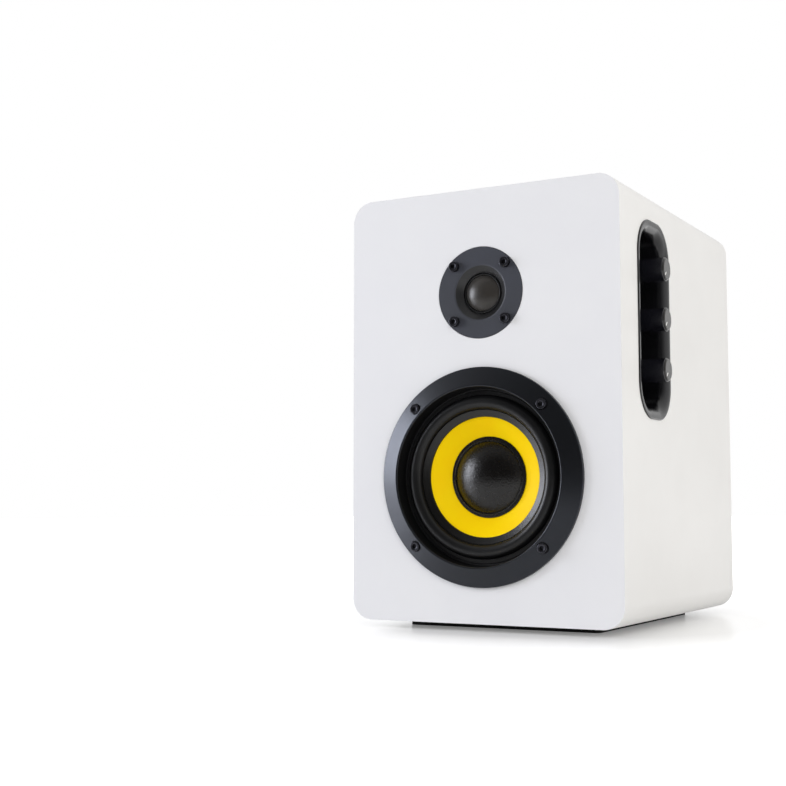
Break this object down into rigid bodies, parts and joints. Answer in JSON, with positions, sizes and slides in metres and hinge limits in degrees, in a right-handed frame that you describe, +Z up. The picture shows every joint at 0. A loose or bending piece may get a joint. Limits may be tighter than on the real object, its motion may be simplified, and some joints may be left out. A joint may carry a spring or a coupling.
{
  "type": "bookshelf speaker",
  "caption": "Powered two-way bookshelf speaker: white wrapped cabinet, conical woofer trim ring, yellow cone, dome tweeter, recessed side knobs and rear port.",
  "frame": {"origin": "centre of the base pad's underside, on the surface that the speaker stands on", "axes": "+X is the side with the control knobs, +Y is the back, +Z is up; the drivers face -Y"},
  "size_m": [0.1681, 0.2168, 0.24],
  "materials": {
    "vinyl_white": "satin white vinyl on fibreboard",
    "vinyl_white_front": "satin white painted fibreboard",
    "black_screw": "black oxide steel",
    "pine": "sawn pine",
    "felt": "grey polyester felt",
    "rubber_pad": "matt black rubber",
    "satin_abs": "satin charcoal moulding",
    "black_frame": "black powder coat",
    "foam": "closed cell foam",
    "rubber_surround": "butyl rubber",
    "yellow_cone": "woven aramid look, yellow, satin",
    "dust_cap": "black, lightly textured",
    "kapton": "amber film",
    "copper": "enamelled copper",
    "spider_cloth": "resin-set cloth",
    "zinc_steel": "zinc plated",
    "ferrite": "sintered ferrite",
    "terminal_strip": "phenolic board with tinned tags",
    "tweeter_plate": "satin charcoal moulding",
    "silk_dome": "coated silk",
    "film_capacitor": "film capacitor wrap",
    "gloss_bezel": "gloss black moulding",
    "gloss_knob": "gloss black moulding",
    "knob_cap": "gloss black end cap with a pale pointer",
    "circuit_board": "green solder mask",
    "anodised_plate": "black anodised",
    "bare_aluminium": "extruded",
    "laminations": "varnished laminations",
    "winding_tape": "polyester tape",
    "capacitor_sleeve": "sleeved aluminium can",
    "black_moulding": "black moulding",
    "rocker_black": "gloss black",
    "lever_red": "red moulding",
    "port_plastic": "fine textured black moulding",
    "lead_red": "red insulation",
    "lead_black": "black insulation"
  },
  "bodies": {
    "cabinet": {"cabinet_wrap": "vinyl_white", "front_baffle": "vinyl_white_front", "rear_panel": "vinyl_white", "rear_panel_screws": "black_screw", "corner_battens": "pine", "damping_pad": "felt", "base_pad": "rubber_pad", "woofer_trim_ring": "satin_abs", "woofer_basket": "black_frame", "woofer_gasket": "foam", "woofer_surround": "rubber_surround", "woofer_spider": "spider_cloth", "woofer_top_plate": "zinc_steel", "woofer_magnet": "ferrite", "woofer_back_plate": "zinc_steel", "woofer_terminals": "terminal_strip", "woofer_screws": "black_screw", "tweeter_faceplate": "tweeter_plate", "tweeter_surround": "rubber_surround", "tweeter_top_plate": "zinc_steel", "tweeter_magnet": "ferrite", "tweeter_back_plate": "zinc_steel", "tweeter_screws": "black_screw", "tweeter_capacitor": "film_capacitor", "control_bezel": "gloss_bezel", "potentiometers": "zinc_steel", "control_board": "circuit_board", "amp_plate": "anodised_plate", "amp_plate_screws": "black_screw", "amp_board": "circuit_board", "heatsink": "bare_aluminium", "transformer_core": "laminations", "transformer_winding": "winding_tape", "capacitors": "capacitor_sleeve", "mains_inlet": "black_moulding", "power_switch_body": "black_moulding", "rca_jacks": "black_moulding", "speaker_terminal_block": "black_moulding", "port_tube": "port_plastic", "woofer_leads": "lead_red", "tweeter_leads": "lead_black"},
    "woofer_moving": {"woofer_cone": "yellow_cone", "woofer_dust_cap": "dust_cap", "woofer_coil_former": "kapton", "woofer_voice_coil": "copper"},
    "tweeter_moving": {"tweeter_dome": "silk_dome", "tweeter_voice_coil": "copper"},
    "volume_control": {"volume_knob": "gloss_knob", "volume_knob_cap": "knob_cap", "volume_shaft": "zinc_steel"},
    "treble_control": {"treble_knob": "gloss_knob", "treble_knob_cap": "knob_cap", "treble_shaft": "zinc_steel"},
    "bass_control": {"bass_knob": "gloss_knob", "bass_knob_cap": "knob_cap", "bass_shaft": "zinc_steel"},
    "rocker": {"power_rocker": "rocker_black"},
    "red_lever": {"terminal_lever_red": "lever_red"},
    "black_lever": {"terminal_lever_black": "rocker_black"}
  },
  "joints": [
    {"name": "woofer_excursion", "type": "slide", "parent": "cabinet", "child": "woofer_moving", "axis": [0, -1, 0], "range_m": [-0.003, 0.003], "stiffness_N_per_m": 1500, "deforming": ["woofer_surround", "woofer_spider"]},
    {"name": "tweeter_excursion", "type": "slide", "parent": "cabinet", "child": "tweeter_moving", "axis": [0, -1, 0], "range_m": [-0.0003, 0.0003], "stiffness_N_per_m": 1000, "deforming": ["tweeter_surround"]},
    {"name": "volume_turn", "type": "hinge", "parent": "cabinet", "child": "volume_control", "pos_m": [0.08, -0.0474, 0.1956], "axis": [-1, 0, 0], "range_deg": [0, 270]},
    {"name": "treble_turn", "type": "hinge", "parent": "cabinet", "child": "treble_control", "pos_m": [0.08, -0.0474, 0.168], "axis": [-1, 0, 0], "range_deg": [0, 270]},
    {"name": "bass_turn", "type": "hinge", "parent": "cabinet", "child": "bass_control", "pos_m": [0.08, -0.0474, 0.1404], "axis": [-1, 0, 0], "range_deg": [0, 270]},
    {"name": "power_toggle", "type": "hinge", "parent": "cabinet", "child": "rocker", "pos_m": [0.033, 0.1, 0.043], "axis": [1, 0, 0], "range_deg": [0, 16]},
    {"name": "red_lever_press", "type": "hinge", "parent": "cabinet", "child": "red_lever", "pos_m": [-0.011, 0.105, 0.119], "axis": [-1, 0, 0], "range_deg": [0, 18], "stiffness_Nm_per_rad": 0.05, "springref_deg": -17.19},
    {"name": "black_lever_press", "type": "hinge", "parent": "cabinet", "child": "black_lever", "pos_m": [-0.033, 0.105, 0.119], "axis": [-1, 0, 0], "range_deg": [0, 18], "stiffness_Nm_per_rad": 0.05, "springref_deg": -17.19}
  ]
}
